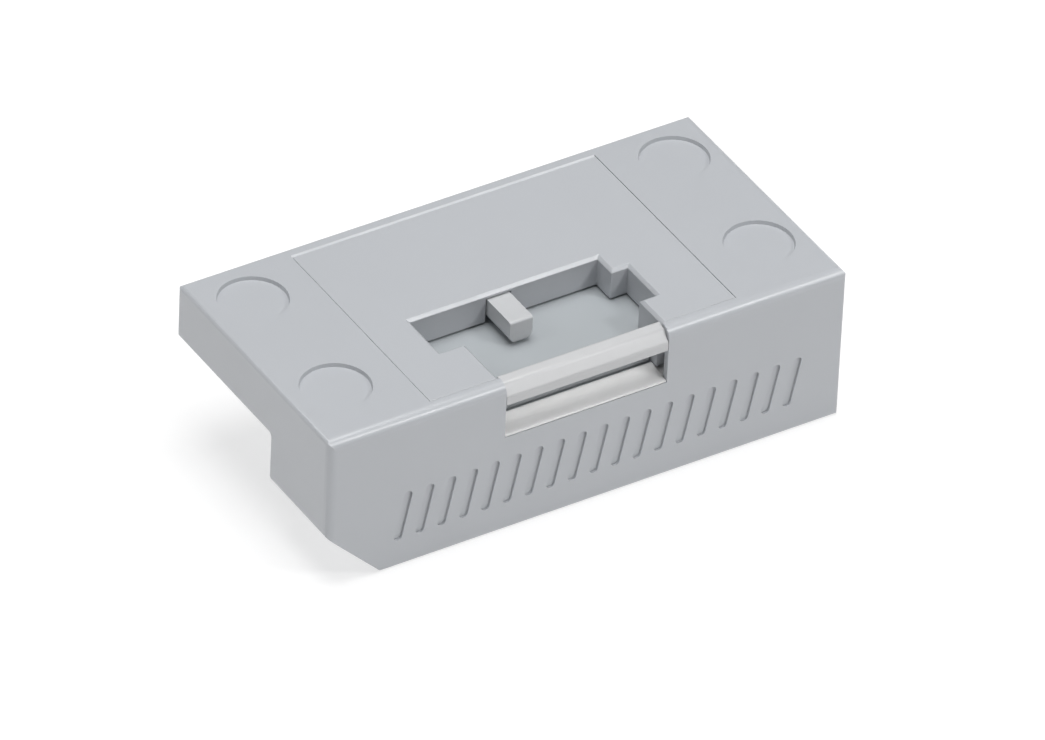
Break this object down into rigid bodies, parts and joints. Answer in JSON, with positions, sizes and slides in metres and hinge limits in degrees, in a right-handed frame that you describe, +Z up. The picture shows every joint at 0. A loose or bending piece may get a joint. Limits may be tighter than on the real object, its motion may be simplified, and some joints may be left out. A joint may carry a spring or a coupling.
{
  "type": "security tag detacher",
  "caption": "Small coded lock block with a flange over a front leg, a stepped key pocket on top and a sprung latch finger worked through a front slot.",
  "frame": {"origin": "centre of the block's bounding box on the surface that the leg stands on", "axes": "+X along the block's length from the chamfered end, +Y from the front face back under the flange, +Z up"},
  "size_m": [0.025, 0.0124, 0.0076],
  "materials": {
    "housing_plastic": "fine satin moulded light grey",
    "code_plate_plastic": "fine satin moulded light grey",
    "slot_bar_plastic": "satin moulded pale grey",
    "slot_sill_plastic": "satin moulded white",
    "slide_plastic": "satin moulded grey",
    "finger_plastic": "satin moulded pale grey",
    "pin_steel": "ground bright steel",
    "spring_steel": "drawn spring wire",
    "magnet_plating": "nickel plated",
    "pole_steel": "rolled mild steel"
  },
  "bodies": {
    "block": {"housing": "housing_plastic", "code_plate": "code_plate_plastic", "slot_bar": "slot_bar_plastic", "slot_sill": "slot_sill_plastic", "return_spring_left": "spring_steel", "return_spring_right": "spring_steel", "magnet_left": "magnet_plating", "magnet_right": "magnet_plating", "pole_plate": "pole_steel", "base_cover": "housing_plastic"},
    "slide": {"release_slide": "slide_plastic", "latch_finger": "finger_plastic", "finger_pin": "pin_steel"}
  },
  "joints": [
    {"name": "release", "type": "slide", "parent": "block", "child": "slide", "axis": [0, 1, 0], "range_m": [0, 0.0018], "stiffness_N_per_m": 250, "springref_m": -0.0008, "deforming": ["return_spring_left", "return_spring_right"]}
  ]
}
